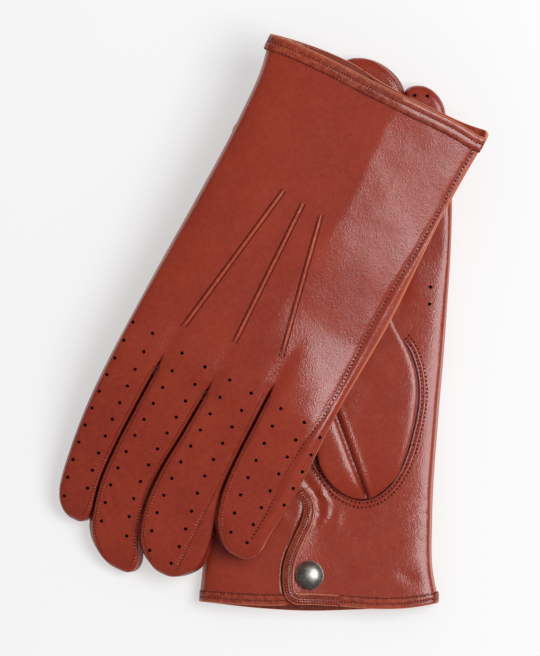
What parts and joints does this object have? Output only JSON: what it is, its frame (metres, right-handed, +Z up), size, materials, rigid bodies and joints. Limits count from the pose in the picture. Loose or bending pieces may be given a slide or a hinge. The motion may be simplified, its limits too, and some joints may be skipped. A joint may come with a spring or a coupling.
{
  "type": "pair of leather driving gloves",
  "caption": "Pair of unlined leather driving gloves with pointed backs, perforated fingers, set-in thumbs and a snap flap at each wrist, laid one across the other.",
  "frame": {"origin": "on the table, under the middle of the pair's bounding box", "axes": "+Z up from the table; +Y is the lower (right) glove's wrist-to-fingertip direction to within 1.5 degrees; +X is towards its index-finger side"},
  "size_m": [0.1878, 0.2533, 0.0408],
  "materials": {
    "main_leather": "smooth red-brown lambskin, semi-gloss",
    "fourchette_leather": "thinner strips of the same red-brown lambskin",
    "edge_leather": "turned and stitched edge with a paler cut edge",
    "thread": "matching sewing thread",
    "snap_cap_metal": "domed antique nickel",
    "snap_inner_metal": "plated press-stud parts"
  },
  "bodies": {
    "right_hand": {"right_hand_leather": "main_leather", "right_cuff_hem": "edge_leather", "right_thumb_seam_thread": "thread", "right_snap_stud": "snap_inner_metal", "right_snap_eyelet": "snap_inner_metal"},
    "right_thumb": {"right_thumb_leather": "main_leather"},
    "right_flap": {"right_snap_flap": "main_leather", "right_flap_edge": "edge_leather", "right_snap_cap": "snap_cap_metal", "right_snap_socket": "snap_inner_metal"},
    "right_index": {"right_index_leather": "main_leather", "right_index_fourchette": "fourchette_leather"},
    "right_middle": {"right_middle_back": "main_leather", "right_middle_palm": "main_leather", "right_middle_fourchette_index_side": "fourchette_leather", "right_middle_fourchette_pinky_side": "fourchette_leather"},
    "right_ring": {"right_ring_back": "main_leather", "right_ring_palm": "main_leather", "right_ring_fourchette_index_side": "fourchette_leather", "right_ring_fourchette_pinky_side": "fourchette_leather"},
    "right_pinky": {"right_pinky_back": "main_leather", "right_pinky_palm": "main_leather", "right_pinky_fourchette": "fourchette_leather"},
    "left_hand": {"left_hand_leather": "main_leather", "left_cuff_hem": "edge_leather", "left_thumb_seam_thread": "thread", "left_snap_stud": "snap_inner_metal", "left_snap_eyelet": "snap_inner_metal", "left_point_thread_index": "thread", "left_point_thread_middle": "thread", "left_point_thread_ring": "thread", "left_side_seam_thread": "thread"},
    "left_thumb": {"left_thumb_leather": "main_leather"},
    "left_flap": {"left_snap_flap": "main_leather", "left_flap_edge": "edge_leather", "left_snap_cap": "snap_cap_metal", "left_snap_socket": "snap_inner_metal"},
    "left_index": {"left_index_leather": "main_leather", "left_index_fourchette": "fourchette_leather"},
    "left_middle": {"left_middle_back": "main_leather", "left_middle_palm": "main_leather", "left_middle_fourchette_index_side": "fourchette_leather", "left_middle_fourchette_pinky_side": "fourchette_leather"},
    "left_ring": {"left_ring_back": "main_leather", "left_ring_palm": "main_leather", "left_ring_fourchette_index_side": "fourchette_leather", "left_ring_fourchette_pinky_side": "fourchette_leather"},
    "left_pinky": {"left_pinky_back": "main_leather", "left_pinky_palm": "main_leather", "left_pinky_fourchette": "fourchette_leather"}
  },
  "joints": [
    {"name": "left_glove_lift", "type": "slide", "parent": "right_hand", "child": "left_hand", "axis": [0, 0, 1], "range_m": [0, 0.12]},
    {"name": "left_index_fold", "type": "hinge", "parent": "left_hand", "child": "left_index", "pos_m": [-0.05812, -0.01138, 0.0309], "axis": [-0.8988, 0.4384, 0], "range_deg": [0, 60]},
    {"name": "left_middle_fold", "type": "hinge", "parent": "left_hand", "child": "left_middle", "pos_m": [-0.0386, -0.02201, 0.03085], "axis": [-0.8988, 0.4384, 0], "range_deg": [0, 60]},
    {"name": "left_ring_fold", "type": "hinge", "parent": "left_hand", "child": "left_ring", "pos_m": [-0.01587, -0.03198, 0.0309], "axis": [-0.8988, 0.4384, 0], "range_deg": [0, 60]},
    {"name": "left_pinky_fold", "type": "hinge", "parent": "left_hand", "child": "left_pinky", "pos_m": [0.01244, -0.0369, 0.03132], "axis": [-0.8988, 0.4384, 0], "range_deg": [0, 60]},
    {"name": "left_thumb_swing", "type": "hinge", "parent": "left_hand", "child": "left_thumb", "pos_m": [0.00214, 0.05878, 0.02417], "axis": [0.0229, 0.047, -0.9986], "range_deg": [0, 45]},
    {"name": "left_snap_flap_open", "type": "hinge", "parent": "left_hand", "child": "left_flap", "pos_m": [0.03291, 0.08595, 0.02701], "axis": [0.253, 0.9661, 0.0513], "range_deg": [0, 22]},
    {"name": "right_index_fold", "type": "hinge", "parent": "right_hand", "child": "right_index", "pos_m": [0.06689, 0.02251, 0.0091], "axis": [0.9997, -0.0262, 0], "range_deg": [0, 5]},
    {"name": "right_middle_fold", "type": "hinge", "parent": "right_hand", "child": "right_middle", "pos_m": [0.04472, 0.02409, 0.0091], "axis": [0.9997, -0.0262, 0], "range_deg": [0, 5]},
    {"name": "right_ring_fold", "type": "hinge", "parent": "right_hand", "child": "right_ring", "pos_m": [0.0199, 0.02374, 0.0091], "axis": [0.9997, -0.0262, 0], "range_deg": [0, 5]},
    {"name": "right_pinky_fold", "type": "hinge", "parent": "right_hand", "child": "right_pinky", "pos_m": [-0.0079, 0.01647, 0.0091], "axis": [0.9997, -0.0262, 0], "range_deg": [0, 5]},
    {"name": "right_thumb_swing", "type": "hinge", "parent": "right_hand", "child": "right_thumb", "pos_m": [0.04116, -0.06584, 0.0135], "axis": [0, 0, -1], "range_deg": [0, 45]},
    {"name": "right_snap_flap_open", "type": "hinge", "parent": "right_hand", "child": "right_flap", "pos_m": [0.02442, -0.10342, 0.01265], "axis": [-0.1704, 0.9854, 0], "range_deg": [0, 140]}
  ]
}
